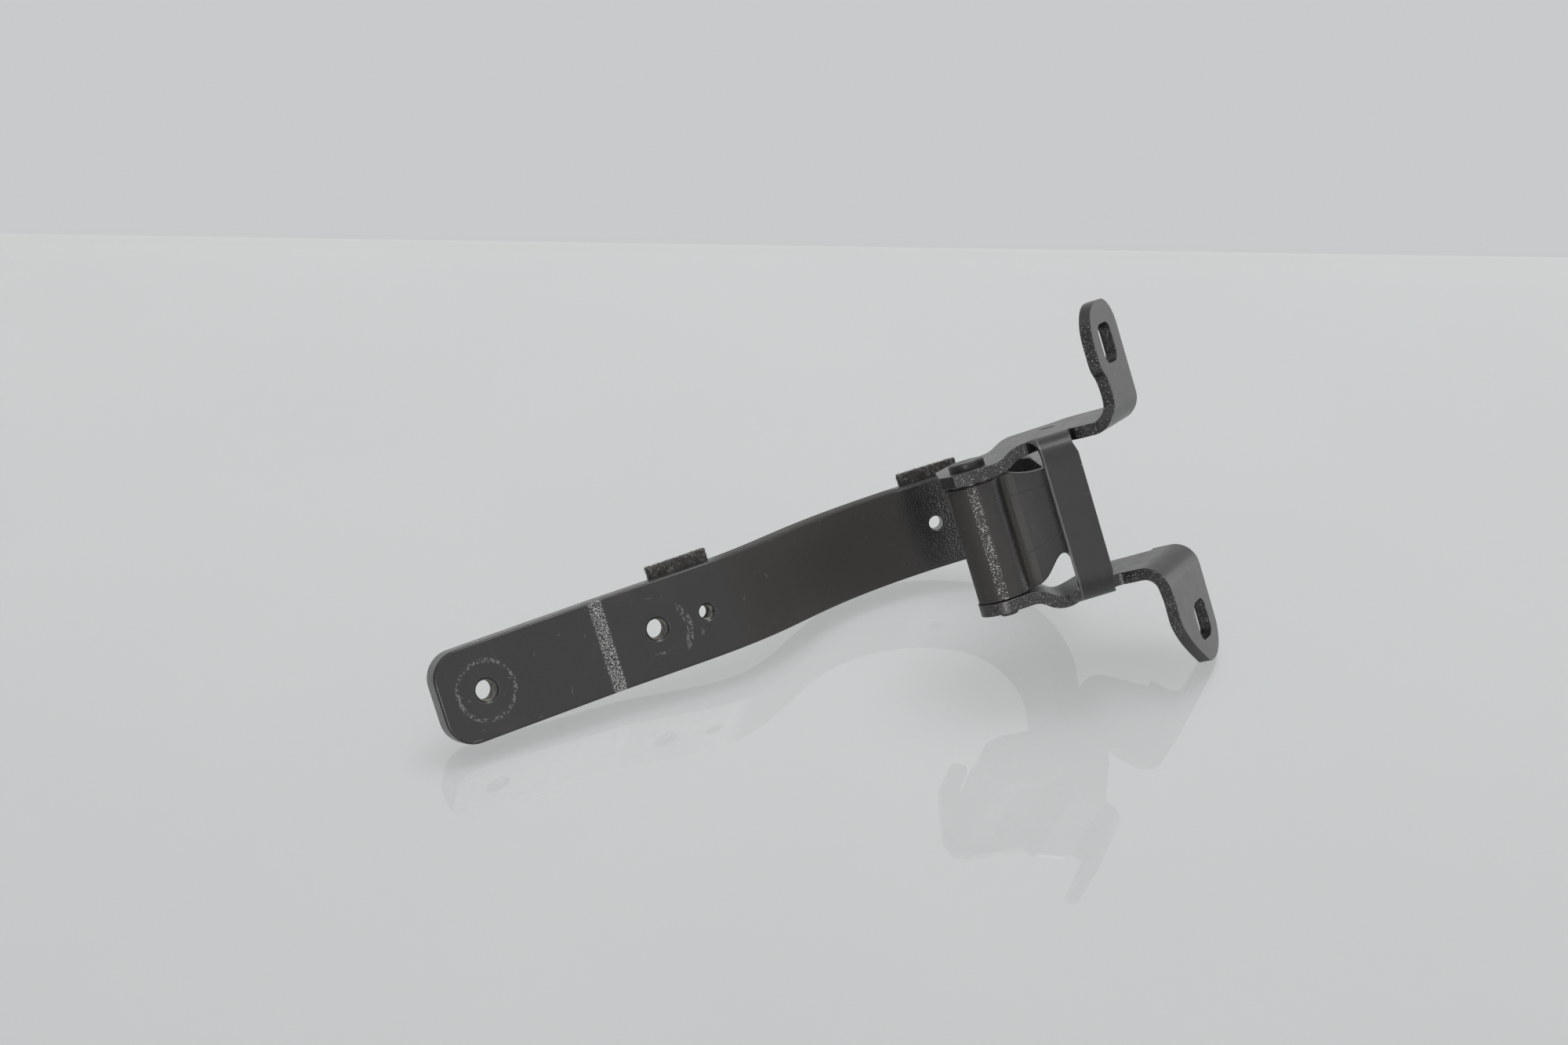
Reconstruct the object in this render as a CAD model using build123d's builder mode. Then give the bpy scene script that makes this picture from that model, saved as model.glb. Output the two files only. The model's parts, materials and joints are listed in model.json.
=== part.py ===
"""Boot lid hinge: a cranked steel arm that swings on a riveted pin in a pressed bracket.

Every sketch is drawn in the hinge's own axes: x runs along the bracket to the
right, y runs from the pin towards the crank and z runs up the pin.  At the end the
whole hinge is laid down on the ground in the way in which it comes to rest.
"""
from build123d import *
import math
import os

# Pin and bushes
pin_diameter = 7.5
pin_head_diameter = 11.3
pin_head_height = 2.3
pin_head_rounding = 0.6
pin_tail_diameter = 5.5
pin_tail_length = 1.8
pin_tail_rounding = 0.5
pin_hole_clearance = 0.02
bush_outer_diameter = 9.0
bush_running_clearance = 0.05
bush_seat_clearance = 0.02
bush_collar_diameter = 12.4
bush_collar_thickness = 1.05
bush_middle_gap = 4.0

# Rolled eye of the arm
eye_diameter = 16.6
eye_length = 36.4
eye_middle_height = -0.4
eye_seam_width = 0.7
eye_seam_angle = 62.0
eye_lip_height = 6.6
eye_lip_depth = 0.85
eye_lip_width = 2.6
eye_lip_angle = 186.0
eye_lower_gap = 0.45
eye_upper_gap = 1.25

# Leaf between the eye and the leg of the arm
leaf_thickness = 4.5
leaf_face_depth = 1.0
leaf_groove_radius = 2.8
neck_start = 11.8
neck_waist_distance = 17.5
neck_waist_drop = 1.7
neck_end = 25.0
neck_slope_distance = 17.0
neck_slope_rise = 4.0
neck_crest_distance = 21.5
neck_foot_rise = 7.4
neck_lower_slopes = ((1, 0.35), (1, -0.4))
neck_upper_slopes = ((-1, -0.2), (-1, 0.4))
coin_depth = 0.3
coin_left = 10.3
coin_right = 23.5
coin_top = 10.8
coin_bottom_left = -8.4
coin_bottom_right = -4.6
coin_corner_radius = 1.2

# Arm bar
bar_width = 30.0
bar_thickness = 9.0
bar_middle_height = 1.2
bar_end_rounding = 9.0
bar_edge_rounding = 0.9
leg_offset = 27.5
leg_corner_radius = 4.2
leg_inner_radius = 3.0
crank_depth = 73.3
crank_leg_radius = 29.5
crank_flat_length = 4.0
crank_shoulder_radius = 72.8
crank_shoulder_angle = 49.0
crank_slope_length = 13.8
crank_outer_radius = 61.2
crank_outer_angle = 30.0
arm_middle_length = 26.4
arm_kink_radius = 84.5
arm_kink_angle = 5.5
arm_end_length = 53.0

# Holes of the arm
bolt_bore_diameter = 6.8
bolt_mouth_depth = 0.7
end_bolt_distance = 15.2
inner_bolt_distance = 13.5
small_bore_diameter = 5.0
small_mouth_depth = 0.6
small_bore_distance = 3.4
crank_hole_diameter = 4.8
crank_hole_distance = 6.2
crank_mouth_depth = 0.35
mouth_angle = 45

# Felt pads on the back of the arm
pad_thickness = 2.4
pad_length = 21.0
pad_height = 12.0
pad_standing = 3.7
pad_gap = 0.05
outer_pad_distance = 1.5
crank_pad_distance = 3.5

# Bracket sheet
sheet_thickness = 3.8
bracket_bend_radius = 4.8
upper_joggle_height = 2.9
lower_joggle_height = 4.1
joggle_start = 7.5
joggle_length = 10.5
web_left = 22.3
web_width = 11.2
web_face_depth = 9.5
web_relief = 3.3
web_relief_below = 2.0
web_notch_depth = 0.8
web_notch_height = 19.0
web_root = 3.0
web_window_share = 0.9
web_notch_overrun = 1.5
ear_reach = 120.0

# Outline of the upper ear
upper_ear_end = 9.3
upper_ear_front = 11.0
upper_ear_corner = 5.5
upper_ear_waist = 9.3
upper_ear_waist_offset = 1.0
upper_ear_shoulder = 4.8
upper_ear_swell = 3.9
upper_ear_back = 34.3
upper_ear_back_drop = 3.0
upper_ear_hip_share = 0.72
upper_ear_crown_share = 0.86
upper_ear_crown_place = 0.72
upper_ear_right = 52.0
upper_ear_swell_slope = (-0.6, 1)
upper_ear_front_slopes = ((-1, -0.25), (-1, -0.1))
upper_ear_back_slopes = ((0.5, 1), (1, -0.4))
nose_depth = 24.0
nose_lean = 3.5
nose_width = 6.0
nose_rounding = 1.2
nose_heel_rise = 2.0
slit_depth = 12.6
slit_width = 1.6
ear_slot_length = 5.6
ear_slot_width = 2.4
ear_slot_offset = 29.0
ear_slot_depth = 22.0
ear_slot_angle = -25.0

# Outline of the lower ear
lower_ear_radius = 8.7
lower_ear_front = 6.2
lower_ear_back = 35.0
lower_ear_touch_angle = 40.0
lower_ear_hip_share = 0.5
lower_ear_crown_share = 0.96
lower_ear_crown_place = 0.91
lower_ear_back_slopes = ((0.77, 0.64), (1, 0.05))

# Mounting flanges
flange_angle = 27.0
flange_bend_radius = 4.0
upper_flange_near = 45.5
upper_flange_depth = -8.0
upper_flange_breadth = 24.3
upper_flange_height = 61.0
upper_flange_relief = 0.2
upper_tip_near_radius = 12.0
upper_tip_far_radius = 9.0
upper_waist_depth = 3.6
upper_waist_height = 32.0
upper_waist_top = 43.0
upper_waist_turn_share = 0.6
upper_waist_slopes = ((1, 0.9), (-0.15, 1))
lower_flange_near = 50.5
lower_flange_depth = 5.0
lower_flange_breadth = 27.4
lower_flange_drop = 60.3
lower_flange_relief = 5.5
lower_slant_near = 3.9
lower_tip_near = 12.4
lower_tip_near_radius = 4.5
lower_tip_far_radius = 11.0
lower_slant_drop = 41.5
lower_slant_foot = 3 * sheet_thickness
lower_slant_turn_near = 0.6
lower_slant_turn_drop = 0.25
lower_slant_slope = (0.78, -0.63)
flange_slot_width = 11.4
flange_slot_height = 12.5
flange_slot_rounding = 3.4
upper_slot_distance = 11.7
upper_slot_height = 47.6
lower_slot_distance = 15.7
lower_slot_drop = 47.0

# Closeness used when picking edges, and the start of the search for the resting place
edge_tolerance = 0.01
first_lean = (-0.5, 0.87)
settling_rounds = 8

# Sizes that follow from the ones above
bar_bottom = bar_middle_height - bar_width / 2
bar_top = bar_middle_height + bar_width / 2
eye_bottom = eye_middle_height - eye_length / 2
eye_top = eye_middle_height + eye_length / 2
leaf_back = leaf_face_depth + leaf_thickness
leg_outer = leg_offset + bar_thickness / 2
bush_bore_radius = pin_diameter / 2 + bush_running_clearance
eye_bore_radius = bush_outer_diameter / 2 + bush_seat_clearance
upper_inner = eye_top + eye_upper_gap
lower_inner = eye_bottom - eye_lower_gap
upper_outer = upper_inner + sheet_thickness
lower_outer = lower_inner - sheet_thickness
upper_sheet = upper_inner + upper_joggle_height
lower_sheet = lower_inner - lower_joggle_height
joggle_end = joggle_start + joggle_length
web_right = web_left + web_width
web_bend = bracket_bend_radius + sheet_thickness
flange_foot = flange_bend_radius + sheet_thickness / 2
web_inner_depth = web_face_depth - web_bend
web_middle_radius = web_bend - sheet_thickness / 2
pin_seat_radius = pin_diameter / 2 + pin_hole_clearance

# Directions along a mounting flange's breadth and out of its face, in plan
along_flange = Vector(math.sin(math.radians(flange_angle)), math.cos(math.radians(flange_angle)))
across_flange = Vector(along_flange.Y, -along_flange.X)


def arm_route():
    """Draw the centreline of the arm from the foot of its leg to its flat end."""
    leg = Line((leg_offset, leaf_back), (leg_offset, crank_depth - crank_leg_radius))
    crank = JernArc(leg @ 1, leg % 1, crank_leg_radius, 90)
    flat = Line(crank @ 1, crank @ 1 + crank % 1 * crank_flat_length)
    shoulder = JernArc(flat @ 1, flat % 1, crank_shoulder_radius, crank_shoulder_angle)
    slope = Line(shoulder @ 1, shoulder @ 1 + shoulder % 1 * crank_slope_length)
    outer = JernArc(slope @ 1, slope % 1, crank_outer_radius, -crank_outer_angle)
    middle = Line(outer @ 1, outer @ 1 + outer % 1 * arm_middle_length)
    kink = JernArc(middle @ 1, middle % 1, arm_kink_radius, arm_kink_angle)
    end = Line(kink @ 1, kink @ 1 + kink % 1 * arm_end_length)
    return [leg, crank, flat, shoulder, slope, outer, middle, kink, end]


with BuildLine() as arm_line:
    route = arm_route()
leg_line, crank_arc, flat_line, shoulder_arc, slope_line, outer_arc, middle_line, kink_arc, end_line = route


def arm_face_plane(segment, distance):
    """Return the plane across the arm so far along a segment of its route, facing its back."""
    share = distance / segment.length
    point = segment @ share
    heading = segment % share
    back = Vector(heading.Y, -heading.X)
    return Plane(origin=(point.X, point.Y, bar_middle_height), x_dir=-heading, z_dir=back)


def is_bar_rim(edge):
    """Tell whether an edge of the bar is part of its rounded rim, clear of the leaf."""
    place = edge.center()
    return place.Y > leaf_back + edge_tolerance or place.X < 0


def flange_point(near, depth, along, across=0.0):
    """Return the plan point that lies so far along and across a mounting flange."""
    return Vector(near, depth) + along_flange * along + across_flange * across


# Arm bar, cranked to shape with rounded corners at its flat end
with BuildPart() as bar:
    with BuildSketch(Plane.XY.offset(bar_bottom)):
        with BuildLine():
            arm_route()
        trace(line_width=bar_thickness)
    extrude(amount=bar_width)
    end_corners = bar.faces().sort_by_distance(end_line @ 1)[0].edges().filter_by(Axis.Z, reverse=True)
    fillet(end_corners, bar_end_rounding)
    rim = bar.edges().filter_by(Axis.Z, reverse=True)
    fillet(rim.filter_by(is_bar_rim), bar_edge_rounding)

# Necked leaf between the bar's leg and the eye
with BuildPart() as leaf:
    with BuildSketch(Plane.XZ.offset(-leaf_face_depth)):
        with BuildLine():
            Line((neck_start, eye_top), (0, eye_top))
            Line((0, eye_top), (0, eye_bottom))
            Line((0, eye_bottom), (neck_start, eye_bottom))
            Spline(
                (neck_start, eye_bottom),
                (neck_slope_distance, eye_bottom + neck_slope_rise),
                (neck_crest_distance, eye_bottom + neck_foot_rise),
                (neck_end, bar_bottom),
                tangents=neck_lower_slopes,
            )
            Line((neck_end, bar_bottom), (leg_outer, bar_bottom))
            Line((leg_outer, bar_bottom), (leg_outer, bar_top))
            Line((leg_outer, bar_top), (neck_end, bar_top))
            Spline(
                (neck_end, bar_top),
                (neck_waist_distance, eye_top - neck_waist_drop),
                (neck_start, eye_top),
                tangents=neck_upper_slopes,
            )
        make_face()
    extrude(amount=-leaf_thickness)

# Arm in one piece with its rolled eye
with BuildPart() as arm:
    add(bar.part)
    add(leaf.part)
    with BuildSketch(Plane.XZ.offset(-leaf_face_depth)):
        with BuildLine():
            Polyline(
                (coin_left, coin_top),
                (coin_right, coin_top),
                (coin_right, coin_bottom_right),
                (coin_left, coin_bottom_left),
                close=True,
            )
        coin = make_face()
        fillet(coin.vertices(), coin_corner_radius)
    extrude(amount=-coin_depth, mode=Mode.SUBTRACT)
    with BuildSketch(Plane.XY.offset(eye_bottom)):
        Circle(eye_diameter / 2)
    extrude(amount=eye_length)
    groove = arm.edges().filter_by(Axis.Z).sort_by_distance((eye_diameter / 2, leaf_face_depth, 0))[0]
    fillet(groove, leaf_groove_radius)
    corner = arm.edges().filter_by(Axis.Z).sort_by_distance((leg_outer, leaf_face_depth, 0))[0]
    fillet(corner, leg_corner_radius)
    with BuildSketch(Plane.XY.offset(eye_top - eye_lip_height)):
        with PolarLocations(eye_diameter / 2, 1, start_angle=eye_lip_angle):
            Rectangle(2 * eye_lip_depth, eye_lip_width)
    extrude(amount=eye_lip_height)
    with BuildSketch(Plane.XY.offset(eye_bottom)):
        Circle(eye_bore_radius)
        with PolarLocations(eye_diameter / 2, 1, start_angle=eye_seam_angle):
            Rectangle(eye_diameter - bush_outer_diameter, eye_seam_width)
    extrude(amount=eye_length, mode=Mode.SUBTRACT)
    for segment, distance, bore, mouth in (
        (end_line, arm_end_length - end_bolt_distance, bolt_bore_diameter, bolt_mouth_depth),
        (middle_line, inner_bolt_distance, bolt_bore_diameter, bolt_mouth_depth),
        (outer_arc, outer_arc.length - small_bore_distance, small_bore_diameter, small_mouth_depth),
        (shoulder_arc, crank_hole_distance, crank_hole_diameter, crank_mouth_depth),
    ):
        across = arm_face_plane(segment, distance)
        with BuildSketch(across):
            Circle(bore / 2)
        extrude(amount=bar_thickness, both=True, mode=Mode.SUBTRACT)
        for facing in (1, -1):
            floor_point = across.origin + across.z_dir * facing * (bar_thickness / 2 - mouth)
            with BuildSketch(Plane(origin=floor_point, x_dir=across.x_dir, z_dir=across.z_dir * facing)):
                Circle(bore / 2)
            extrude(amount=2 * mouth, taper=-mouth_angle, mode=Mode.SUBTRACT)


def felt_pad(segment, distance):
    """Build a felt pad on the arm's back round a place on its route, standing above its top edge."""
    window = arm_face_plane(segment, distance)
    pad_top = bar_top + pad_standing
    with BuildPart() as pad:
        with BuildSketch(Plane.XY.offset(pad_top - pad_height)):
            with BuildLine():
                arm_route()
            trace(line_width=bar_thickness + 2 * (pad_gap + pad_thickness))
        extrude(amount=pad_height)
        with BuildSketch(Plane.XY.offset(pad_top - pad_height)):
            with BuildLine():
                arm_route()
            trace(line_width=bar_thickness + 2 * pad_gap)
        extrude(amount=pad_height, mode=Mode.SUBTRACT)
        with BuildSketch(window):
            Rectangle(pad_length, 4 * bar_width)
        extrude(amount=2 * bar_thickness, mode=Mode.INTERSECT)
    return pad.part


outer_pad = felt_pad(outer_arc, outer_arc.length - outer_pad_distance)
crank_pad = felt_pad(shoulder_arc, crank_pad_distance)


def ear_sheet(inner, joggle_height, reach):
    """Build the joggled sheet of one ear, much longer and deeper than the ear."""
    side = 1 if inner > 0 else -1
    middle = inner + side * sheet_thickness / 2
    joggle_angle = 2 * math.degrees(math.atan(joggle_height / joggle_length))
    joggle_radius = joggle_length / (2 * math.sin(math.radians(joggle_angle)))
    with BuildPart() as plate:
        with BuildSketch(Plane.XZ):
            with BuildLine():
                start = Line((-reach, middle), (joggle_start, middle))
                rise = JernArc(start @ 1, start % 1, joggle_radius, side * joggle_angle)
                settle = JernArc(rise @ 1, rise % 1, joggle_radius, -side * joggle_angle)
                Line(settle @ 1, (reach, (settle @ 1).Y))
            trace(line_width=sheet_thickness)
        extrude(amount=reach, both=True)
    return plate.part


def flange_sheet(side, near, depth, breadth, reach, relief):
    """Build the bent strip that turns an ear's edge into a mounting flange."""
    sheet = upper_sheet if side > 0 else lower_sheet
    middle = sheet + side * sheet_thickness / 2
    start = flange_point(near, depth, -relief)
    section = Plane(origin=(start.X, start.Y, 0), x_dir=across_flange, z_dir=-along_flange)
    bend = flange_bend_radius + sheet_thickness / 2
    with BuildPart() as strip:
        with BuildSketch(section):
            with BuildLine():
                foot = Line((-2 * bend, middle), (-bend, middle))
                turn = JernArc(foot @ 1, foot % 1, bend, side * 90)
                Line(turn @ 1, ((turn @ 1).X, side * reach))
            trace(line_width=sheet_thickness)
        extrude(amount=-(breadth + relief))
    return strip.part


def flange_outline_plane(near, depth):
    """Return the plane of a mounting flange, with x along its breadth and y up the pin."""
    return Plane(origin=(near, depth, 0), x_dir=along_flange, z_dir=across_flange)


def tip_edges(flange, height):
    """Return the edges across a flange's thickness at its tip, the nearer one first."""
    at_tip = flange.edges().filter_by(lambda edge: abs(edge.center().Z - height) < edge_tolerance)
    short = at_tip.filter_by(lambda edge: edge.length < sheet_thickness + edge_tolerance)
    return short.sort_by(Axis.Y)


# Upper ear with its hooked nose
with BuildPart() as upper_ear:
    add(ear_sheet(upper_inner, upper_joggle_height, ear_reach))
    with BuildSketch(Plane.XY.offset(upper_inner)):
        place = (upper_flange_near, upper_flange_depth)
        bend_near = flange_point(*place, -upper_flange_relief, -flange_foot)
        bend_far = flange_point(*place, upper_flange_breadth, -flange_foot)
        nose_left = nose_lean - upper_ear_end
        nose_right = nose_left + nose_width
        slit_middle = slit_depth + slit_width / 2
        slit_end = nose_width - upper_ear_end + slit_width
        with BuildLine():
            Polyline((upper_ear_right, upper_ear_back - upper_ear_back_drop), bend_far, bend_near)
            Spline(
                bend_near,
                (web_right + web_relief, -upper_ear_swell),
                (web_right, -web_inner_depth),
                tangents=(-across_flange, upper_ear_swell_slope),
            )
            Polyline(
                (web_right, -web_inner_depth),
                (web_left, -web_inner_depth),
                (web_left - web_relief, -upper_ear_shoulder),
            )
            Spline(
                (web_left - web_relief, -upper_ear_shoulder),
                (joggle_start + upper_ear_waist_offset, -upper_ear_waist),
                (0, -upper_ear_front),
                tangents=upper_ear_front_slopes,
            )
            Polyline(
                (0, -upper_ear_front),
                (-upper_ear_corner, -upper_ear_front),
                (-upper_ear_end, -upper_ear_corner),
                (-upper_ear_end, slit_depth + nose_heel_rise),
                (nose_left, nose_depth - 2 * nose_rounding),
                (nose_left + nose_rounding, nose_depth),
                (nose_right, nose_depth),
                (nose_right + nose_rounding / 2, nose_depth - 2 * nose_rounding),
                (nose_width - upper_ear_end + nose_rounding / 2, slit_middle),
                (slit_end, slit_middle),
            )
            Spline(
                (slit_end, slit_middle),
                (joggle_start / 2, upper_ear_back * upper_ear_hip_share),
                (joggle_end * upper_ear_crown_place, upper_ear_back * upper_ear_crown_share),
                (web_right, upper_ear_back),
                (upper_ear_right, upper_ear_back - upper_ear_back_drop),
                tangents=upper_ear_back_slopes,
            )
        make_face()
        with Locations(Location((ear_slot_offset, ear_slot_depth), ear_slot_angle)):
            SlotOverall(ear_slot_length, ear_slot_width, mode=Mode.SUBTRACT)
        Circle(pin_seat_radius, mode=Mode.SUBTRACT)
    extrude(amount=upper_joggle_height + sheet_thickness, mode=Mode.INTERSECT)

# Lower ear, rounded about the pin
with BuildPart() as lower_ear:
    add(ear_sheet(lower_inner, lower_joggle_height, ear_reach))
    with BuildSketch(Plane.XY.offset(lower_sheet - sheet_thickness)):
        place = (lower_flange_near, lower_flange_depth)
        bend_near = flange_point(*place, -lower_flange_relief, -flange_foot)
        bend_far = flange_point(*place, lower_flange_breadth, -flange_foot)
        touch = math.radians(lower_ear_touch_angle)
        back_touch = Vector(-math.sin(touch), math.cos(touch)) * lower_ear_radius
        with BuildLine():
            Line(bend_far, bend_near)
            Spline(
                bend_near,
                (web_right + web_relief_below, lower_ear_front),
                (web_right, lower_ear_front - web_relief_below),
                tangents=(-across_flange, (0, -1)),
            )
            Polyline(
                (web_right, lower_ear_front - web_relief_below),
                (web_right, -web_inner_depth),
                (web_left, -web_inner_depth),
                (web_left - web_relief, -upper_ear_shoulder),
                (0, -lower_ear_radius),
            )
            ThreePointArc((0, -lower_ear_radius), (-lower_ear_radius, 0), back_touch)
            Spline(
                back_touch,
                (joggle_end, lower_ear_back * lower_ear_hip_share),
                (web_right * lower_ear_crown_place, lower_ear_back * lower_ear_crown_share),
                bend_far,
                tangents=lower_ear_back_slopes,
            )
        make_face()
        Circle(pin_seat_radius, mode=Mode.SUBTRACT)
    extrude(amount=lower_joggle_height + sheet_thickness, mode=Mode.INTERSECT)

# Web of the bracket, bent over into both ears, widening into them on its left and notched on its right
with BuildPart() as web:
    low_middle = lower_sheet - sheet_thickness / 2
    high_turn_start = upper_sheet + sheet_thickness / 2 - web_middle_radius
    with BuildSketch(Plane.YZ.offset(web_left - web_relief)):
        with BuildLine():
            low = Line((web_root, low_middle), (-web_inner_depth, low_middle))
            low_turn = JernArc(low @ 1, low % 1, web_middle_radius, -90)
            rise = Line(low_turn @ 1, ((low_turn @ 1).X, high_turn_start))
            high_turn = JernArc(rise @ 1, rise % 1, web_middle_radius, -90)
            Line(high_turn @ 1, (web_root, (high_turn @ 1).Y))
        trace(line_width=sheet_thickness)
    extrude(amount=web_relief + web_width)
    window_top = upper_sheet + sheet_thickness * web_window_share
    window_left = web_left - 2 * web_relief
    with BuildSketch(Plane.XZ):
        with BuildLine():
            Polyline(
                (window_left, lower_sheet),
                (web_left, lower_sheet),
                (web_left, window_top),
                (window_left, window_top),
                close=True,
            )
        make_face()
        fillet(vertices().sort_by(Axis.X)[-2:].sort_by(Axis.Y)[0], web_relief_below)
        fillet(vertices().sort_by(Axis.X)[-2:].sort_by(Axis.Y)[-1], web_relief)
        for start, end in ((web_notch_height, upper_sheet), (-web_notch_height, lower_sheet)):
            overrun = end * web_notch_overrun
            with BuildLine():
                Polyline(
                    (web_right, start),
                    (web_right - web_notch_depth, end),
                    (web_right - web_notch_depth, overrun),
                    (web_right + sheet_thickness, overrun),
                    (web_right + sheet_thickness, start),
                    close=True,
                )
            make_face()
    extrude(amount=4 * web_bend, both=True, mode=Mode.SUBTRACT)

# Upper mounting flange
with BuildPart() as upper_flange:
    place = (upper_flange_near, upper_flange_depth)
    add(flange_sheet(1, *place, upper_flange_breadth, upper_flange_height, upper_flange_relief))
    with BuildSketch(flange_outline_plane(*place)):
        with BuildLine():
            foot = upper_sheet
            top = upper_flange_height
            waist_rise = (upper_waist_top - upper_waist_height) * upper_waist_turn_share
            waist_turn_height = upper_waist_height + waist_rise
            Polyline(
                (upper_flange_breadth, top),
                (upper_flange_breadth, foot),
                (-upper_flange_relief, foot),
                (-upper_flange_relief, foot + sheet_thickness),
            )
            Spline(
                (-upper_flange_relief, foot + sheet_thickness),
                (upper_waist_depth, upper_waist_height),
                (upper_waist_depth * upper_waist_turn_share, waist_turn_height),
                (0, upper_waist_top),
                tangents=upper_waist_slopes,
            )
            Polyline((0, upper_waist_top), (0, top), (upper_flange_breadth, top))
        make_face()
        with Locations((upper_slot_distance, upper_slot_height)):
            RectangleRounded(
                flange_slot_width, flange_slot_height, flange_slot_rounding, mode=Mode.SUBTRACT
            )
    extrude(amount=ear_reach, both=True, mode=Mode.INTERSECT)
    fillet(tip_edges(upper_flange, top)[0], upper_tip_near_radius)
    fillet(tip_edges(upper_flange, top)[-1], upper_tip_far_radius)

# Lower mounting flange with its slanted tip
with BuildPart() as lower_flange:
    place = (lower_flange_near, lower_flange_depth)
    add(flange_sheet(-1, *place, lower_flange_breadth, lower_flange_drop, lower_flange_relief))
    with BuildSketch(flange_outline_plane(*place)):
        with BuildLine():
            foot = lower_sheet
            tip = -lower_flange_drop
            slant_turn = -lower_slant_drop + (tip + lower_slant_drop) * lower_slant_turn_drop
            Polyline(
                (lower_tip_near, tip),
                (lower_flange_breadth, tip),
                (lower_flange_breadth, foot),
                (-lower_flange_relief, foot),
                (-lower_flange_relief, foot - sheet_thickness),
            )
            Spline(
                (-lower_flange_relief, foot - sheet_thickness),
                (-lower_slant_near, foot - lower_slant_foot),
                (-lower_slant_near, -lower_slant_drop),
                tangents=((0, -1), (0, -1)),
            )
            Spline(
                (-lower_slant_near, -lower_slant_drop),
                (-lower_slant_near * lower_slant_turn_near, slant_turn),
                (lower_tip_near, tip),
                tangents=((0, -1), lower_slant_slope),
            )
        make_face()
        with Locations((lower_slot_distance, -lower_slot_drop)):
            RectangleRounded(
                flange_slot_width, flange_slot_height, flange_slot_rounding, mode=Mode.SUBTRACT
            )
    extrude(amount=ear_reach, both=True, mode=Mode.INTERSECT)
    fillet(tip_edges(lower_flange, tip)[0], lower_tip_near_radius)
    fillet(tip_edges(lower_flange, tip)[-1], lower_tip_far_radius)

# Bracket in one piece
with BuildPart() as bracket:
    add(upper_ear.part)
    add(lower_ear.part)
    add(web.part)
    add(upper_flange.part)
    add(lower_flange.part)

# Riveted pin
with BuildPart() as pin:
    with BuildSketch(Plane.XY.offset(lower_outer)):
        Circle(pin_diameter / 2)
    extrude(amount=upper_outer - lower_outer)
    with BuildSketch(Plane.XY.offset(upper_outer)):
        Circle(pin_head_diameter / 2)
    extrude(amount=pin_head_height)
    with BuildSketch(Plane.XY.offset(lower_outer)):
        Circle(pin_tail_diameter / 2)
    extrude(amount=-pin_tail_length)
    fillet(pin.edges().group_by(Axis.Z)[-1], pin_head_rounding)
    fillet(pin.edges().group_by(Axis.Z)[0], pin_tail_rounding)

# Flanged upper bush and plain lower bush
with BuildPart() as upper_bush:
    with BuildSketch(Plane.XY.offset(eye_middle_height + bush_middle_gap / 2)):
        Circle(bush_outer_diameter / 2)
    extrude(amount=eye_length / 2 - bush_middle_gap / 2)
    with BuildSketch(Plane.XY.offset(eye_top)):
        Circle(bush_collar_diameter / 2)
    extrude(amount=bush_collar_thickness)
    with BuildSketch(Plane.XY.offset(eye_middle_height)):
        Circle(bush_bore_radius)
    extrude(amount=eye_length, mode=Mode.SUBTRACT)
with BuildPart() as lower_bush:
    with BuildSketch(Plane.XY.offset(eye_bottom)):
        Circle(bush_outer_diameter / 2)
        Circle(bush_bore_radius, mode=Mode.SUBTRACT)
    extrude(amount=eye_length / 2 - bush_middle_gap / 2)

# Resting place: the hinge lies on the arm's end corner, the crank's lower edge
# and the tip of the lower flange
end_heading = end_line % 1
end_back = Vector(end_heading.Y, -end_heading.X)
end_foot = (end_line @ 1) + end_back * (bar_thickness / 2) - end_heading * bar_end_rounding
end_foot = Vector(end_foot.X, end_foot.Y, bar_bottom)
tip_centre = Vector(lower_flange_breadth - lower_tip_far_radius, lower_tip_far_radius - lower_flange_drop)
upward = Vector(0, 0, 1)
toward_ground = Vector(*first_lean)
for settling in range(settling_rounds):
    crank_foot = shoulder_arc.arc_center + toward_ground * (crank_shoulder_radius + bar_thickness / 2)
    crank_foot = Vector(crank_foot.X, crank_foot.Y, bar_bottom)
    down_tip = Vector(-upward.dot(along_flange), -upward.Z).normalized() * lower_tip_far_radius
    tip_along = tip_centre.X + down_tip.X
    plan = flange_point(lower_flange_near, lower_flange_depth, tip_along, -sheet_thickness / 2)
    tip_foot = Vector(plan.X, plan.Y, tip_centre.Y + down_tip.Y)
    upward = (tip_foot - end_foot).cross(crank_foot - end_foot).normalized()
    toward_ground = Vector(-upward.X, -upward.Y).normalized()
rightward = (Vector(1, 0, 0) - upward * upward.X).normalized()
ground = Plane(origin=end_foot, x_dir=rightward, z_dir=upward)

pieces = {
    "arm": arm.part,
    "bracket": bracket.part,
    "hinge_pin": pin.part,
    "upper_bush": upper_bush.part,
    "lower_bush": lower_bush.part,
    "outer_pad": outer_pad,
    "crank_pad": crank_pad,
}
laid = {name: ground.location.inverse() * solid for name, solid in pieces.items()}
extent = Compound(children=[Compound(solid.wrapped) for solid in laid.values()]).bounding_box()
footing = Pos(-extent.center().X, -extent.center().Y, -extent.min.Z)

os.makedirs("parts", exist_ok=True)
for name, solid in laid.items():
    placed = footing * solid
    placed.label = name
    export_step(placed, f"parts/{name}.step")
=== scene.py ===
"""Looks of a boot lid hinge: black painted steel, cut threads, felt pads, a glass table and soft light.

All lengths are in metres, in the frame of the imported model. The hinge lies on a glass table at height zero.
"""

import json
import logging
import math
import random
from dataclasses import dataclass
from enum import Enum
from typing import Protocol, Sequence, Union

import bpy
from mathutils import Matrix, Vector, noise


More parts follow.
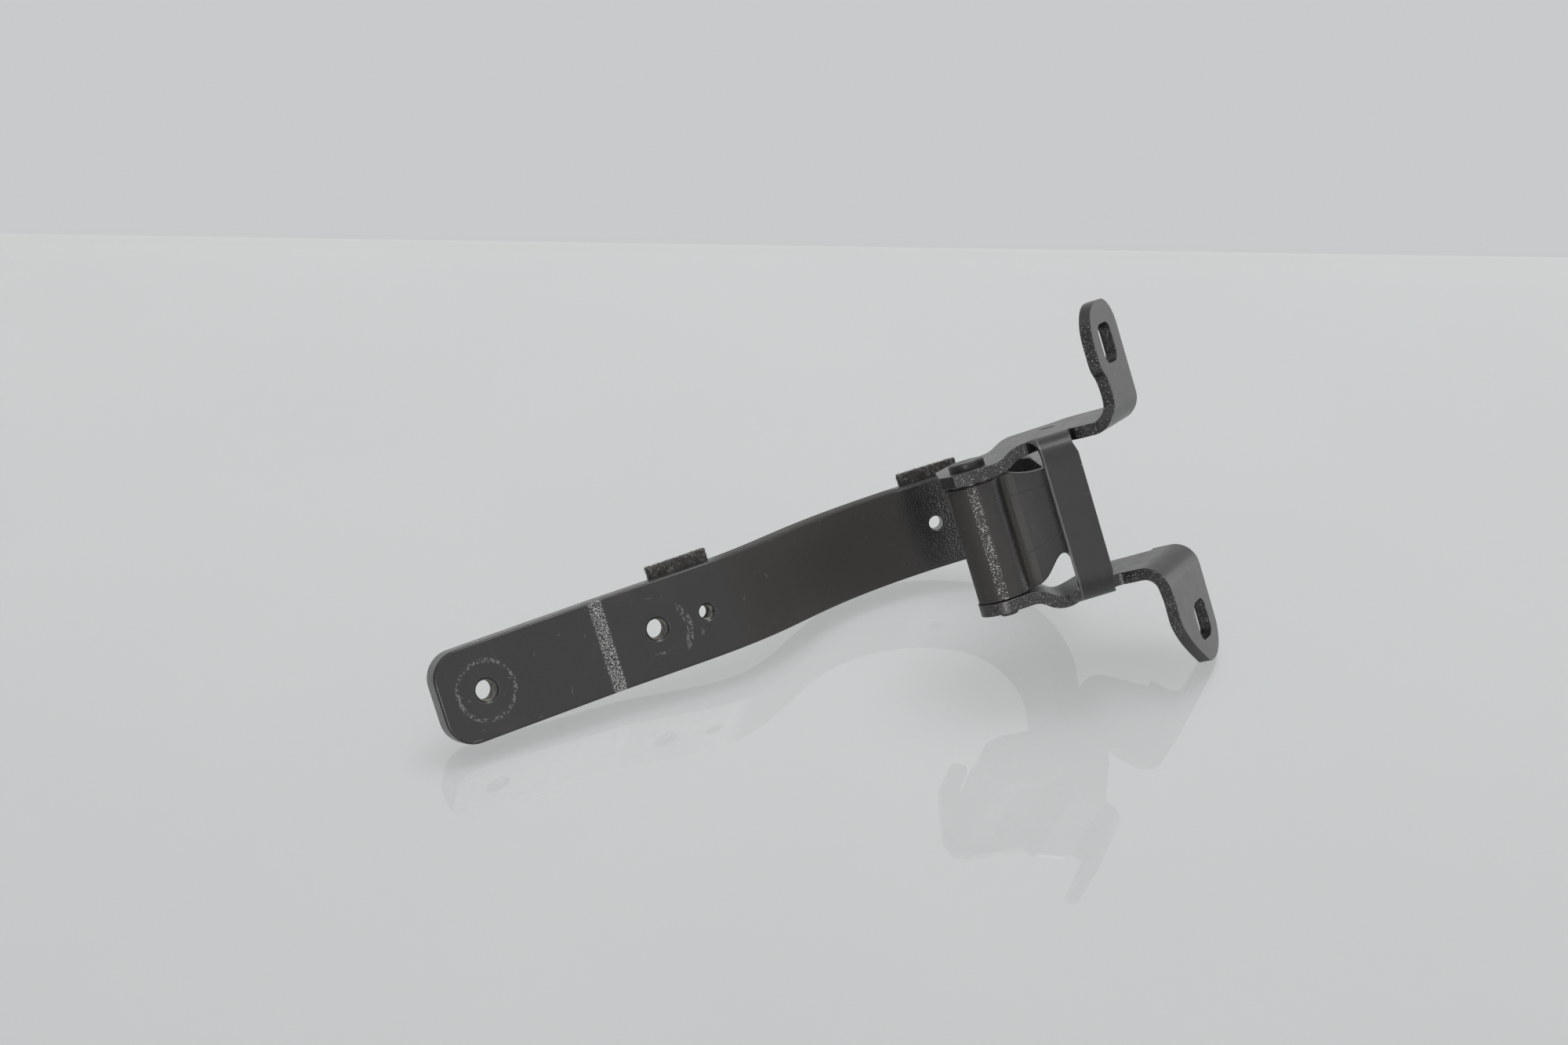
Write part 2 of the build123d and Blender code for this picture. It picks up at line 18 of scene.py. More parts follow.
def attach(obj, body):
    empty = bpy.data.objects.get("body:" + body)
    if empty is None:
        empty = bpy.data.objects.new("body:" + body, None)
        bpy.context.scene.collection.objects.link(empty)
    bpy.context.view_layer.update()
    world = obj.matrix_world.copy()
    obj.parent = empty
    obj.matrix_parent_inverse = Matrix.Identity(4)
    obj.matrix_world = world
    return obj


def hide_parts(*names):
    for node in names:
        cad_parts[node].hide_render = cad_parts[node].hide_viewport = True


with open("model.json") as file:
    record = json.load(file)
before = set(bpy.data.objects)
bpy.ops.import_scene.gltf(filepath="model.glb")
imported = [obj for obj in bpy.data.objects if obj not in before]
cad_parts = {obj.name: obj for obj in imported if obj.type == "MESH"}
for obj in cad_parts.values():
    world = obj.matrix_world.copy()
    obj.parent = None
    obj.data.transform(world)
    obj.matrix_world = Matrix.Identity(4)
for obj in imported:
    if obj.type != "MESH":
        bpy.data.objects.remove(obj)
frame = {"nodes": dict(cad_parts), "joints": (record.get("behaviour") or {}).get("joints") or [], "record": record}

LOG = logging.getLogger("boot_lid_hinge")
MM = 0.001
FLANGE_ANGLE = 27.0
Colour = tuple[float, float, float, float]
Socket = bpy.types.NodeSocket
Feed = Union[Socket, float]


class Sum(Enum):
    """The sums that a node can do with one or two numbers."""

    ADD = "ADD"
    SUBTRACT = "SUBTRACT"
    MULTIPLY = "MULTIPLY"
    MAXIMUM = "MAXIMUM"
    ABSOLUTE = "ABSOLUTE"
    LESS_THAN = "LESS_THAN"


class LampShape(Enum):
    """The outline of a studio lamp."""

    SQUARE = "SQUARE"
    STRIP = "RECTANGLE"


class NodeBoard:
    """A tree of shader nodes in the making, with short calls for the nodes that it needs."""

    def __init__(self, tree: bpy.types.NodeTree) -> None:
        """Takes a tree and empties it."""
        self.tree = tree
        self.tree.nodes.clear()

    def node(self, kind: str, feeds: dict, **settings: object) -> bpy.types.Node:
        """Adds a node.

        Args:
            kind: The node's type, without its common first part.
            feeds: What goes into its sockets, by name or number: another node's socket or a value.
            **settings: The node's own settings.

        Returns:
            The new node.
        """
        made = self.tree.nodes.new("ShaderNode" + kind)
        for name, value in settings.items():
            setattr(made, name, value)
        for socket, value in feeds.items():
            if isinstance(value, Socket):
                self.tree.links.new(value, made.inputs[socket])
            else:
                made.inputs[socket].default_value = value
        return made

    def sum(self, operation: Sum, first: Feed, second: Feed = 0.0) -> Socket:
        """Returns the result of one sum on two numbers."""
        return self.node("Math", {0: first, 1: second}, operation=operation.value).outputs[0]

    def times(self, first: Feed, second: Feed) -> Socket:
        """Returns two numbers multiplied."""
        return self.sum(Sum.MULTIPLY, first, second)

    def dot(self, way: Socket, other: Union[Socket, Vector]) -> Socket:
        """Returns how far one direction runs along another."""
        return self.node("VectorMath", {0: way, 1: other}, operation="DOT_PRODUCT").outputs["Value"]

    def fade(self, value: Socket, start: float, end: float, first: float = 0.0, last: float = 1.0) -> Socket:
        """Goes smoothly from one result to another as a value goes from start to end.

        Args:
            value: The value that is watched.
            start: Where the change begins.
            end: Where the change is complete.
            first: The result up to the start.
            last: The result beyond the end.

        Returns:
            The socket that holds the result.
        """
        if start > end:
            start, end, first, last = end, start, last, first
        feeds = {0: value, 1: start, 2: end, 3: first, 4: last}
        return self.node("MapRange", feeds, interpolation_type="SMOOTHSTEP").outputs[0]


class Bench(NodeBoard):
    """One procedural material in the making."""

    def __init__(self, name: str) -> None:
        """Starts an empty material.

        Args:
            name: The material's name.
        """
        self.material = bpy.data.materials.new(name)
        self.material.use_nodes = True
        super().__init__(self.material.node_tree)
        coordinates = self.node("TexCoord", {})
        self.place = coordinates.outputs["Object"]
        self.outward = coordinates.outputs["Normal"]

    def grain(self, size: float, detail: float = 2.0, stretch: Sequence[float] = (1, 1, 1),
              turn: Sequence[float] = (0, 0, 0), twist: float = 0.0) -> Socket:
        """Makes a cloudy noise.

        Args:
            size: The usual size of one blotch.
            detail: How many finer layers it has.
            stretch: How much denser it is along each axis.
            turn: Its turn round each axis, in radians.
            twist: How far its blotches are distorted.

        Returns:
            The socket that holds the noise, about 0.5 on average.
        """
        where = self.place
        if tuple(stretch) != (1, 1, 1) or tuple(turn) != (0, 0, 0):
            where = self.node("Mapping", {0: self.place, 2: turn, 3: stretch}).outputs[0]
        feeds = {"Vector": where, "Scale": 1.0 / size, "Detail": detail, "Distortion": twist}
        return self.node("TexNoise", feeds).outputs[0]

    def along(self, point: Vector, direction: Vector) -> Socket:
        """Returns the distance from a point, measured along a direction."""
        away = self.node("VectorMath", {0: self.place, 1: point}, operation="SUBTRACT").outputs[0]
        return self.dot(away, direction)

    def beside(self, point: Vector, direction: Vector) -> Socket:
        """Measures how far the surface is from a straight line.

        Args:
            point: A point on the line.
            direction: The line's direction.

        Returns:
            The socket that holds the distance.
        """
        away = self.node("VectorMath", {0: self.place, 1: point}, operation="SUBTRACT").outputs[0]
        side = self.node("VectorMath", {0: away, 1: direction}, operation="CROSS_PRODUCT").outputs[0]
        return self.node("VectorMath", {0: side}, operation="LENGTH").outputs["Value"]

    def mix(self, share: Feed, first: Union[Socket, Colour], second: Union[Socket, Colour]) -> Socket:
        """Returns a colour between two, where share 0 is the first and 1 the second."""
        return self.node("Mix", {0: share, 6: first, 7: second}, data_type="RGBA").outputs[2]

    def bump(self, height: Socket, **feeds: Socket) -> Socket:
        """Returns the normal of a surface that a height in metres lifts."""
        return self.node("Bump", {"Height": height, "Distance": 1.0, **feeds}).outputs[0]

    def finish(self, shader: bpy.types.Node) -> bpy.types.Material:
        """Puts the shader on the surface, and returns the material."""
        self.node("OutputMaterial", {"Surface": shader.outputs[0]})
        return self.material


class Place(Protocol):
    """Anything that marks out a part of a surface."""

    def mask(self, bench: Bench) -> Socket:
        """Returns the socket that is 1 in the marked part and 0 elsewhere."""


@dataclass(frozen=True)
class Blotches:
    """A cloudy pattern: nothing up to one level of its noise, and full from another."""

    size: float
    start: float
    end: float
    detail: float = 2.0
    stretch: Sequence[float] = (1, 1, 1)
    turn: Sequence[float] = (0, 0, 0)
    twist: float = 0.0

    def mask(self, bench: Bench) -> Socket:
        """Returns the socket that is 1 in the thick of the pattern."""
        cloud = bench.grain(self.size, self.detail, self.stretch, self.turn, self.twist)
        return bench.fade(cloud, self.start, self.end)


@dataclass(frozen=True)
class Specks:
    """Small round specks. The radius is a share of their spacing, and only a share of the cells hold one."""

    spacing: float
    share: float
    radius: float
    core: float = 0.5

    def mask(self, bench: Bench) -> Socket:
        """Scatters the specks.

        Args:
            bench: The material in the making.

        Returns:
            The socket that is 1 on a speck and 0 elsewhere.
        """
        cells = bench.node("TexVoronoi", {"Vector": bench.place, "Scale": 1.0 / self.spacing})
        near = bench.fade(cells.outputs["Distance"], self.radius, self.radius * self.core)
        red = bench.node("SeparateColor", {0: cells.outputs["Color"]}).outputs[0]
        return bench.times(near, bench.sum(Sum.LESS_THAN, red, self.share))


@dataclass(frozen=True)
class Strip:
    """A strip across a part, square to a direction."""

    point: Vector
    direction: Vector
    half_width: float
    fade: float

    def mask(self, bench: Bench) -> Socket:
        """Returns the socket that is 1 in the strip."""
        away = bench.sum(Sum.ABSOLUTE, bench.along(self.point, self.direction))
        return bench.fade(away, self.half_width + self.fade, self.half_width)


@dataclass(frozen=True)
class Ring:
    """A round place about an axis: a disc where inner is 0, or else a ring such as a washer's mark."""

    point: Vector
    axis: Vector
    inner: float
    outer: float
    fade: float
    half_depth: float
    depth_fade: float = 0.2

    def mask(self, bench: Bench) -> Socket:
        """Marks out the ring.

        Args:
            bench: The material in the making.

        Returns:
            The socket that is 1 in the ring and 0 outside it.
        """
        radius = bench.beside(self.point, self.axis)
        depth = bench.sum(Sum.ABSOLUTE, bench.along(self.point, self.axis))
        disc = bench.fade(radius, self.outer + self.fade, self.outer)
        held = bench.times(disc, bench.fade(depth, self.half_depth * (1 + self.depth_fade), self.half_depth))
        if self.inner <= 0:
            return held
        return bench.times(held, bench.fade(radius, self.inner - self.fade, self.inner))


@dataclass(frozen=True)
class Arc:
    """The part of a ring that lies on one side of its middle."""

    ring: Ring
    toward: Vector
    reach: float
    fade: float = 1.2 * MM

    def mask(self, bench: Bench) -> Socket:
        """Returns the socket that is 1 on the arc."""
        side = bench.along(self.ring.point, self.toward)
        return bench.times(self.ring.mask(bench), bench.fade(side, self.reach, self.reach + self.fade))


@dataclass(frozen=True)
class FacingStrip:
    """The part of a strip that lies on faces that look one way."""

    strip: Strip
    facing: Vector
    turned_from: float = 0.15
    turned_to: float = 0.45

    def mask(self, bench: Bench) -> Socket:
        """Returns the socket that is 1 on that part."""
        turned = bench.fade(bench.dot(bench.outward, self.facing), self.turned_from, self.turned_to)
        return bench.times(self.strip.mask(bench), turned)


@dataclass(frozen=True)
class ShearedEdge:
    """The cut edges of a folded sheet that face one way, outside a strip that faces the same way."""

    facing: Vector
    middle: Vector
    across: Vector
    half_width: float
    fade: float = 1.5 * MM
    turned_from: float = 0.62
    turned_to: float = 0.80

    def mask(self, bench: Bench) -> Socket:
        """Marks out the cut edges.

        Args:
            bench: The material in the making.

        Returns:
            The socket that is 1 on the cut edges and 0 elsewhere.
        """
        turned = bench.fade(bench.dot(bench.outward, self.facing), self.turned_from, self.turned_to)
        away = bench.sum(Sum.ABSOLUTE, bench.along(self.middle, self.across))
        return bench.times(turned, bench.fade(away, self.half_width, self.half_width + self.fade))


@dataclass(frozen=True)
class PaintedGlints:
    """Painted glints: bright spots painted into the paint's colour in one place, where the noise is above a level.
    They stand in for the light's reflection on rough paint.
    """

    place: Place
    level: float
    share: float


@dataclass(frozen=True)
class DustAndHighlight:
    """A place where the paint has another colour and a set dulling. It serves for dust, and also for painted
    highlights laid into the colour.
    """

    place: Place
    colour: Colour
    dulling: float


def joined(bench: Bench, places: Sequence[Place]) -> Feed:
    """Joins several places into one.

    Args:
        bench: The material in the making.
        places: The places.

    Returns:
        The socket that is 1 in any of them, or plain 0 where there are none.
    """
    held: Feed = 0.0
    for place in places:
        held = bench.sum(Sum.MAXIMUM, held, place.mask(bench))
    return held


@dataclass(frozen=True)
class Wear:
    """The dust and wear of one paint, as sockets that its colour, its gloss and its bump share. The edge mask
    carries edge wear and also a painted rim highlight.
    """

    dusty: Socket
    scratches: Socket
    edge: Socket
    scuffs: Socket


@dataclass(frozen=True)
class BlackPaint:
    """Black dipped paint on pressed steel, with a faint orange peel, rough places, dust and scuffs, and painted
    highlights: glints, a lightened edge and tinted places laid into its colour.
    """

    name: str
    colour: Colour = (0.0175, 0.0170, 0.0178, 1.0)
    dust_colour: Colour = (0.048, 0.040, 0.034, 1.0)
    # Pale colour of scratches, chips and scuffs, also used for the painted rim highlight on the edges.
    scuff_and_edge_highlight_colour: Colour = (0.16, 0.155, 0.15, 1.0)
    # Colour of the painted highlight glints; the same colour also tints the dust specks.
    painted_glint_and_speck_colour: Colour = (0.50, 0.50, 0.49, 1.0)
    specular: float = 0.5
    roughness: float = 0.27
    patch_size: float = 5.0 * MM
    patch_span: float = 0.16
    peel_size: float = 1.1 * MM
    peel_depth: float = 0.012 * MM
    rough_size: float = 0.58 * MM
    rough_depth: float = 0.12 * MM
    scratch_depth: float = 0.004 * MM
    edge_radius: float = 0.5 * MM
    edge_samples: int = 6
    edge_from: float = 0.985
    edge_to: float = 0.90
    dust: float = 0.35
    dust_dulling: float = 0.22
    scuff_dulling: float = 0.20
    dust_cloud: Blotches = Blotches(34 * MM, 0.47, 0.72, detail=5.0, twist=0.6)
    speck_cloud: Blotches = Blotches(34 * MM, 0.40, 0.60, detail=5.0, twist=0.6)
    scratch_one: Blotches = Blotches(2.2 * MM, 0.715, 0.74, 3.0, (0.05, 1.0, 1.6), (0.2, 0.5, 0.3))
    scratch_two: Blotches = Blotches(2.6 * MM, 0.725, 0.75, 3.0, (1.3, 1.0, 0.06), (0.4, -0.5, 0.1))
    chips: Blotches = Blotches(1.6 * MM, 0.58, 0.70, detail=3.0)
    scuff_grain: Blotches = Blotches(0.9 * MM, 0.47, 0.60, detail=4.0)
    specks: Specks = Specks(3.4 * MM, 0.10, 0.055)
    fine_specks: Specks = Specks(1.4 * MM, 0.16, 0.085)
    scratch_share: float = 0.30
    # Lightened edges: partly edge wear, partly a painted rim highlight.
    edge_wear_and_highlight_share: float = 0.36
    chip_share: float = 0.55
    scuff_share: float = 0.75
    speck_share: float = 0.80
    fine_speck_share: float = 0.60
    painted_glint_size: float = 0.38 * MM
    painted_glint_fade: float = 0.05
    rough_places: tuple[Place, ...] = ()
    painted_glints: tuple[PaintedGlints, ...] = ()
    dust_and_highlights: tuple[DustAndHighlight, ...] = ()
    scuffed_places: tuple[Place, ...] = ()

    def make(self) -> bpy.types.Material:
        """Builds the material.

        Returns:
            The finished paint.
        """
        bench = Bench(self.name)
        rounded = bench.node("Bevel", {"Radius": self.edge_radius}, samples=self.edge_samples).outputs[0]
        face = bench.node("NewGeometry", {}).outputs["Normal"]
        wear = Wear(
            dusty=bench.times(self.dust_cloud.mask(bench), self.dust),
            scratches=joined(bench, (self.scratch_one, self.scratch_two)),
            edge=bench.fade(bench.dot(rounded, face), self.edge_from, self.edge_to),
            scuffs=bench.times(joined(bench, self.scuffed_places), self.scuff_grain.mask(bench)),
        )
        dust_and_highlight_masks = [tinted.place.mask(bench) for tinted in self.dust_and_highlights]
        shader = bench.node(
            "BsdfPrincipled",
            {
                "Base Color": self._colour(bench, wear, dust_and_highlight_masks),
                "Roughness": self._roughness(bench, wear, dust_and_highlight_masks),
                "Normal": bench.bump(self._height(bench, wear), Normal=rounded),
                "Specular IOR Level": self.specular,
            },
        )
        return bench.finish(shader)

    def _colour(self, bench: Bench, wear: Wear, dust_and_highlight_masks: Sequence[Socket]) -> Socket:
        """Lays the dust, the painted glints and other painted highlights, and the wear over the paint's own
        colour.

        Args:
            bench: The material in the making.
            wear: The paint's dust and wear, with the edge mask that also carries a painted rim highlight.
            dust_and_highlight_masks: The mask of each dust place and painted highlight place.

        Returns:
            The socket that holds the colour.
        """
        colour = bench.mix(wear.dusty, self.colour, self.dust_colour)
        # Dust, and painted highlights, laid in as tinted places.
        for held, tinted in zip(dust_and_highlight_masks, self.dust_and_highlights):
            colour = bench.mix(held, colour, tinted.colour)
        # Painted highlights: glint spots mixed into the colour where the light would reflect.
        for glint in self.painted_glints:
            tips = Blotches(self.painted_glint_size, glint.level, glint.level + self.painted_glint_fade, detail=1.0)
            lit = bench.times(tips.mask(bench), glint.place.mask(bench))
            colour = bench.mix(bench.times(lit, glint.share), colour, self.painted_glint_and_speck_colour)
        chipped = bench.times(wear.edge, self.chips.mask(bench))
        fine_specks = bench.times(self.fine_specks.mask(bench), self.speck_cloud.mask(bench))
        layers = (
            (wear.scratches, self.scratch_share, self.scuff_and_edge_highlight_colour),
            # Edge lightening: wear along the edges and a painted rim highlight.
            (wear.edge, self.edge_wear_and_highlight_share, self.scuff_and_edge_highlight_colour),
            (chipped, self.chip_share, self.scuff_and_edge_highlight_colour),
            (wear.scuffs, self.scuff_share, self.scuff_and_edge_highlight_colour),
            (self.specks.mask(bench), self.speck_share, self.painted_glint_and_speck_colour),
            (fine_specks, self.fine_speck_share, self.painted_glint_and_speck_colour),
        )
        for held, share, layer in layers:
            colour = bench.mix(bench.times(held, share), colour, layer)
        return colour

    def _roughness(self, bench: Bench, wear: Wear, dust_and_highlight_masks: Sequence[Socket]) -> Socket:
        """Varies the gloss in patches, and dulls it under dust and scuffs.

        Args:
            bench: The material in the making.
            wear: The paint's dust and wear.
            dust_and_highlight_masks: The mask of each dust place and painted highlight place.

        Returns:
            The socket that holds the roughness.
        """
        patches = bench.times(bench.grain(self.patch_size, detail=4.0), self.patch_span)
        roughness = bench.sum(Sum.ADD, patches, self.roughness - self.patch_span / 2)
        roughness = bench.sum(Sum.ADD, roughness, bench.times(wear.dusty, self.dust_dulling))
        roughness = bench.sum(Sum.ADD, roughness, bench.times(wear.scuffs, self.scuff_dulling))
        for held, tinted in zip(dust_and_highlight_masks, self.dust_and_highlights):
            roughness = bench.sum(Sum.ADD, roughness, bench.times(held, tinted.dulling))
        return roughness

    def _height(self, bench: Bench, wear: Wear) -> Socket:
        """Adds up the orange peel, the rough places and the scratches.

        Args:
            bench: The material in the making.
            wear: The paint's dust and wear.

        Returns:
            The socket that holds the height, in metres.
        """
        peel = bench.times(bench.grain(self.peel_size, detail=1.0), self.peel_depth)
        pebbles = bench.times(bench.grain(self.rough_size, detail=1.5), self.rough_depth)
        height = bench.sum(Sum.ADD, peel, bench.times(pebbles, joined(bench, self.rough_places)))
        return bench.sum(Sum.SUBTRACT, height, bench.times(wear.scratches, self.scratch_depth))


@dataclass(frozen=True)
class BareMetal:
    """Dull bare metal with a fine turned grain."""

    name: str
    colour: Colour
    dark: Colour
    roughness: float = 0.42
    metallic: float = 0.9
    stains: Blotches = Blotches(2.5 * MM, 0.40, 0.68, detail=4.0)
    grain_size: float = 0.5 * MM
    grain_span: float = 0.2
    grain_depth: float = 0.008 * MM

    def make(self) -> bpy.types.Material:
        """Builds the material.

        Returns:
            The finished metal.
        """
        bench = Bench(self.name)
        fine = bench.grain(self.grain_size, detail=3.0)
        lowest = self.roughness - self.grain_span / 2
        roughness = bench.sum(Sum.ADD, bench.times(fine, self.grain_span), lowest)
        shader = bench.node(
            "BsdfPrincipled",
            {
                "Base Color": bench.mix(self.stains.mask(bench), self.colour, self.dark),
                "Metallic": self.metallic,
                "Roughness": roughness,
                "Normal": bench.bump(bench.times(fine, self.grain_depth)),
            },
        )
        return bench.finish(shader)


@dataclass(frozen=True)
class Felt:
    """Coarse dark felt, mottled, with dusty tufts."""

    name: str
    colour: Colour = (0.030, 0.029, 0.027, 1.0)
    pale: Colour = (0.21, 0.20, 0.185, 1.0)
    tufts: Blotches = Blotches(1.1 * MM, 0.42, 0.72, detail=6.0, twist=1.2)
    clouds: Blotches = Blotches(5.0 * MM, 0.30, 0.62, detail=3.0)
    weave_size: float = 0.35 * MM
    weave_depth: float = 0.25 * MM
    roughness: float = 0.95
    sheen: float = 0.25
    sheen_roughness: float = 0.6
    specular: float = 0.2

    def make(self) -> bpy.types.Material:
        """Builds the material.

        Returns:
            The finished felt.
        """
        bench = Bench(self.name)
        share = bench.times(self.tufts.mask(bench), self.clouds.mask(bench))
        height = bench.times(bench.grain(self.weave_size, detail=5.0, twist=2.0), self.weave_depth)
        shader = bench.node(
            "BsdfPrincipled",
            {
                "Base Color": bench.mix(share, self.colour, self.pale),
                "Roughness": self.roughness,
                "Normal": bench.bump(height),
                "Sheen Weight": self.sheen,
                "Sheen Roughness": self.sheen_roughness,
                "Specular IOR Level": self.specular,
            },
        )
        return bench.finish(shader)


@dataclass(frozen=True)
class TableGlass:
    """The clear upper face of a glass table: it lets the pale face below show, and mirrors faintly."""

    name: str
    tint: Colour = (0.975, 0.985, 0.982, 1.0)
    mirrored: Colour = (1.0, 1.0, 1.0, 1.0)
    roughness: float = 0.006
    refraction: float = 1.60

    def make(self) -> bpy.types.Material:
        """Builds the material.

        Returns:
            The finished glass.
        """
        bench = Bench(self.name)
        clear = bench.node("BsdfTransparent", {"Color": self.tint})
        mirror = bench.node("BsdfGlossy", {"Color": self.mirrored, "Roughness": self.roughness})
        share = bench.node("Fresnel", {"IOR": self.refraction})
        feeds = {0: share.outputs[0], 1: clear.outputs[0], 2: mirror.outputs[0]}
        return bench.finish(bench.node("MixShader", feeds))


@dataclass(frozen=True)
class TableBacking:
    """The pale face under the glass, with a few hairline scratches."""

    name: str
    colour: Colour = (0.230, 0.235, 0.236, 1.0)
    lighter: Colour = (0.245, 0.250, 0.250, 1.0)
    scratch: Colour = (0.13, 0.135, 0.13, 1.0)
    glow: Colour = (0.60, 0.612, 0.610, 1.0)
    glow_strength: float = 0.585
    clouds: Blotches = Blotches(160 * MM, 0.2, 0.8)
    hairlines: Blotches = Blotches(9 * MM, 0.80, 0.82, stretch=(0.1, 1.0, 1.0), turn=(0, 0, 0.7))
    scratch_share: float = 0.25
    roughness: float = 0.012
    specular: float = 0.90

    def make(self) -> bpy.types.Material:
        """Builds the material.

        Returns:
            The finished backing.
        """
        bench = Bench(self.name)
        pale = bench.mix(self.clouds.mask(bench), self.colour, self.lighter)
        scratched = bench.times(self.hairlines.mask(bench), self.scratch_share)
        shader = bench.node(
            "BsdfPrincipled",
            {
                "Base Color": bench.mix(scratched, pale, self.scratch),
                "Roughness": self.roughness,
                "Specular IOR Level": self.specular,
                "Emission Color": self.glow,
                "Emission Strength": self.glow_strength,
            },
        )
        return bench.finish(shader)


def mesh_object(name: str, points: Sequence, faces: Sequence, finish: bpy.types.Material) -> bpy.types.Object:
    """Makes a mesh object from points and faces.

    Args:
        name: The object's name.
        points: Its points.
        faces: Its faces, each a row of point numbers.
        finish: Its material.

    Returns:
        The object, linked to the scene.
    """
    mesh = bpy.data.meshes.new(name)
    mesh.from_pydata([tuple(point) for point in points], [], faces)
    mesh.update()
    made = bpy.data.objects.new(name, mesh)
    bpy.context.scene.collection.objects.link(made)
    made.data.materials.append(finish)
    return made


def dress(node: str, finish: bpy.types.Material) -> bpy.types.Object:
    """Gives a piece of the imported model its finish.

    Args:
        node: The piece's name.
        finish: The finish.

    Returns:
        The piece.
    """
    carried = frame["nodes"][node]
    carried.data.materials.clear()
    carried.data.materials.append(finish)
    return carried


def mount(name: str) -> tuple[Vector, Vector]:
    """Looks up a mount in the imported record.

    Args:
        name: The mount's name.

    Returns:
        Its place and its inward axis. A hole's place is in the middle of the bar's thickness.
    """
    for row in frame["record"]["mounts"]:
        if row["name"] == name:
            return Vector(row["pos_m"]), Vector(row["axis"])
    raise KeyError(name)


def pivot() -> tuple[Vector, Vector]:
    """Returns a point on the pin's axis and the axis itself, pointing up the pin."""
    joint = frame["joints"][0]
    return Vector(joint["pos_m"]), Vector(joint["axis"])


def bracket_ways() -> tuple[Vector, Vector]:
    """Works out how the bracket stands, from its upper flange.

    Returns:
        The ways to its right and to its back, both square to the pin.
    """
    _, axis = pivot()
    _, face = mount("upper_flange_slot")
    along = axis.cross(face)
    tilt = math.radians(FLANGE_ANGLE)
    return face * math.cos(tilt) + along * math.sin(tilt), along * math.cos(tilt) - face * math.sin(tilt)


@dataclass
class CutThread:
    """The thread in one tapped hole: a helical ridge on the bore's wall.

    The ridge's half foot and the gap at each end are shares of the pitch, and the run-out is in steps.
    """

    name: str
    hole: str
    bore_radius: float
    length: float
    pitch: float
    ridge: float = 0.34 * MM
    rooting: float = 0.06 * MM
    half_foot: float = 0.42
    end_gap: float = 0.45
    steps_per_turn: int = 40
    run_out: int = 14

    def build(self, finish: bpy.types.Material) -> bpy.types.Object:
        """Cuts the ridge.

        Args:
            finish: The ridge's material.

        Returns:
            The ridge, riding on the arm.
        """
        middle, axis = mount(self.hole)
        start = middle - axis * (self.length / 2)
        side = axis.orthogonal().normalized()
        other = axis.cross(side)
        count = int((self.length / self.pitch - 2 * self.end_gap) * self.steps_per_turn)
        root = self.bore_radius + self.rooting
        points: list[Vector] = []
        faces: list[tuple[int, ...]] = []
        for i in range(count + 1):
            angle = 2 * math.pi * i / self.steps_per_turn
            lead = self.pitch * (self.end_gap + i / self.steps_per_turn)
            fade = min(1.0, i / self.run_out, (count - i) / self.run_out)
            spoke = side * math.cos(angle) + other * math.sin(angle)
            crest = self.bore_radius - self.ridge * fade if fade else root
            for shift, radius in ((-self.half_foot, root), (0.0, crest), (self.half_foot, root)):
                points.append(start + axis * (lead + shift * self.pitch) + spoke * radius)
        for i in range(count):
            a, b = 3 * i, 3 * (i + 1)
            faces += [(a, a + 1, b + 1, b), (a + 1, a + 2, b + 2, b + 1), (a + 2, a, b, b + 2)]
        faces += [(0, 2, 1), (3 * count, 3 * count + 1, 3 * count + 2)]
        made = mesh_object(self.name, points, faces, finish)
        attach(made, "arm")
        return made


